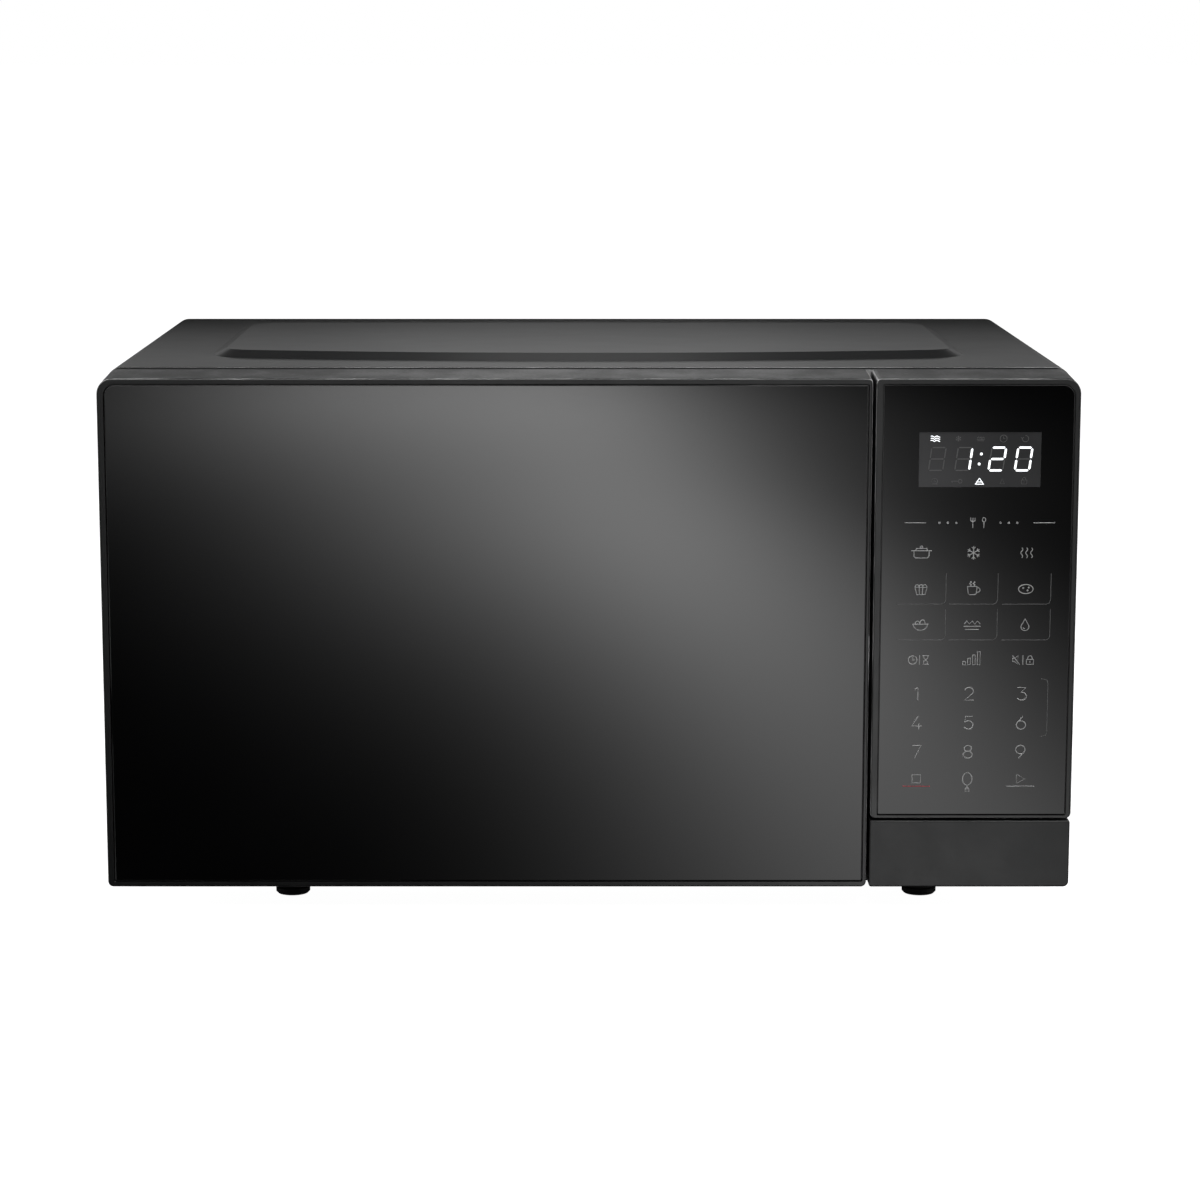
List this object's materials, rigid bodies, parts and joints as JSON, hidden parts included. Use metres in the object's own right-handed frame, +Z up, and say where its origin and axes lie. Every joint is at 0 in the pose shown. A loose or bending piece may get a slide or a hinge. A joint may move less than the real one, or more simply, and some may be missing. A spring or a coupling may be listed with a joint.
{
  "type": "microwave oven",
  "caption": "Countertop microwave oven with a flush dark glass door hinged at the left, a control panel with lit clock, push-button door opener and rotating glass tray.",
  "frame": {"origin": "middle of the footprint, at the underside of the feet", "axes": "+Z up, the door and control panel face -Y, +X to the right as seen from the front"},
  "size_m": [0.44, 0.324, 0.2521],
  "materials": {
    "case_paint": "satin dark grey powder coat",
    "chassis_steel": "zinc-plated sheet",
    "cavity_enamel": "satin grey cavity paint",
    "door_plastic": "satin dark grey moulded plastic",
    "button_plastic": "satin dark grey moulded plastic",
    "black_glass": "black-backed mirror glass",
    "overlay_gloss": "gloss black printed plate",
    "display_lens": "smoked lens",
    "clear_glass": "clear",
    "window_film": "clear film",
    "dark_plastic": "moulded",
    "white_plastic": "moulded",
    "beige_plastic": "heat-resistant moulded",
    "mica": "pressed mica sheet",
    "heater_steel": "oxidised sheath",
    "aluminium": "mill",
    "lamination_steel": "varnished laminations",
    "enamel_wire": "enamelled copper wire",
    "circuit_board": "fibreglass board",
    "lamp_glass": "clear bulb",
    "foot_rubber": "moulded rubber",
    "spring_steel": "drawn wire",
    "lead_sheath": "insulated wire",
    "screw_steel": "black-zinc screws"
  },
  "bodies": {
    "chassis": {"outer_cabinet": "case_paint", "base_plate": "chassis_steel", "rear_panel": "chassis_steel", "front_frame": "cavity_enamel", "oven_cavity": "cavity_enamel", "hinge_brackets": "chassis_steel", "hinge_pins": "chassis_steel", "latch_board": "white_plastic", "lever_pin": "chassis_steel", "microswitches": "dark_plastic", "control_panel_housing": "door_plastic", "control_overlay": "overlay_gloss", "display_window": "display_lens", "display_module": "dark_plastic", "control_board": "circuit_board", "button_springs": "spring_steel", "turntable_motor": "chassis_steel", "grill_element": "heater_steel", "element_rails": "chassis_steel", "waveguide": "chassis_steel", "waveguide_cover": "mica", "magnetron_yoke": "chassis_steel", "magnetron_tube": "aluminium", "magnetron_fins": "aluminium", "transformer_core": "lamination_steel", "transformer_windings": "enamel_wire", "hv_capacitor": "aluminium", "capacitor_bracket": "chassis_steel", "hv_diode": "dark_plastic", "filter_board": "circuit_board", "filter_parts": "dark_plastic", "main_fuse": "lamp_glass", "thermal_cutouts": "dark_plastic", "fan_shroud": "beige_plastic", "fan_motor": "lamination_steel", "air_duct": "beige_plastic", "lamp_holder": "chassis_steel", "cavity_lamp": "lamp_glass", "feet": "foot_rubber", "rear_spacers": "dark_plastic", "cord_gland": "dark_plastic", "case_screws": "screw_steel", "wiring_leads": "lead_sheath"},
    "door": {"door_frame": "door_plastic", "door_glass": "black_glass", "door_choke_frame": "cavity_enamel", "door_screen": "cavity_enamel", "inner_window": "window_film", "choke_cover": "dark_plastic", "latch_spring": "spring_steel"},
    "door_latch": {"latch_hooks": "white_plastic"},
    "door_button": {"open_button": "button_plastic"},
    "door_lever": {"release_lever": "white_plastic"},
    "turntable_drive": {"turntable_coupler": "beige_plastic"},
    "tray": {"glass_tray": "clear_glass"},
    "roller_support": {"roller_ring": "beige_plastic"},
    "roller_1": {"roller_wheel_1": "beige_plastic"},
    "roller_2": {"roller_wheel_2": "beige_plastic"},
    "roller_3": {"roller_wheel_3": "beige_plastic"},
    "fan": {"fan_blade": "beige_plastic"}
  },
  "joints": [
    {"name": "door_hinge", "type": "hinge", "parent": "chassis", "child": "door", "pos_m": [-0.214, -0.1402, 0.13], "axis": [0, 0, 1], "range_deg": [-110, 0]},
    {"name": "latch_lift", "type": "slide", "parent": "door", "child": "door_latch", "axis": [0, 0, 1], "range_m": [0, 0.0025], "stiffness_N_per_m": 150, "springref_m": -0.01, "deforming": ["latch_spring"]},
    {"name": "button_press", "type": "slide", "parent": "chassis", "child": "door_button", "axis": [0, 1, 0], "range_m": [0, 0.006], "stiffness_N_per_m": 300, "springref_m": -0.008, "deforming": ["button_springs"]},
    {"name": "lever_turn", "type": "hinge", "parent": "chassis", "child": "door_lever", "pos_m": [0.12, -0.126, 0.052], "axis": [1, 0, 0], "range_deg": [0, 15.5]},
    {"name": "turntable_turn", "type": "hinge", "parent": "chassis", "child": "turntable_drive", "pos_m": [-0.0505, 0.005, 0.03], "axis": [0, 0, 1], "continuous": true},
    {"name": "tray_lift", "type": "slide", "parent": "turntable_drive", "child": "tray", "axis": [0, 0, 1], "range_m": [0, 0.02]},
    {"name": "roller_ring_turn", "type": "hinge", "parent": "chassis", "child": "roller_support", "pos_m": [-0.0505, 0.005, 0.035], "axis": [0, 0, 1], "continuous": true},
    {"name": "roller_1_spin", "type": "hinge", "parent": "roller_support", "child": "roller_1", "pos_m": [-0.0505, 0.09, 0.0388], "axis": [0, 1, 0], "continuous": true},
    {"name": "roller_2_spin", "type": "hinge", "parent": "roller_support", "child": "roller_2", "pos_m": [-0.12411, -0.0375, 0.0388], "axis": [-0.866, -0.5, 0], "continuous": true},
    {"name": "roller_3_spin", "type": "hinge", "parent": "roller_support", "child": "roller_3", "pos_m": [0.02311, -0.0375, 0.0388], "axis": [0.866, -0.5, 0], "continuous": true},
    {"name": "fan_spin", "type": "hinge", "parent": "chassis", "child": "fan", "pos_m": [0.16, 0.12, 0.15], "axis": [0, 1, 0], "continuous": true}
  ],
  "couplings": [
    {"joint": "lever_turn", "follows": "button_press", "rad_per_m": 45.078},
    {"joint": "latch_lift", "follows": "button_press", "ratio": 0.41647},
    {"joint": "roller_ring_turn", "follows": "turntable_turn", "ratio": 0.5},
    {"joint": "roller_1_spin", "follows": "turntable_turn", "ratio": -5.6667},
    {"joint": "roller_2_spin", "follows": "turntable_turn", "ratio": -5.6667},
    {"joint": "roller_3_spin", "follows": "turntable_turn", "ratio": -5.6667}
  ]
}
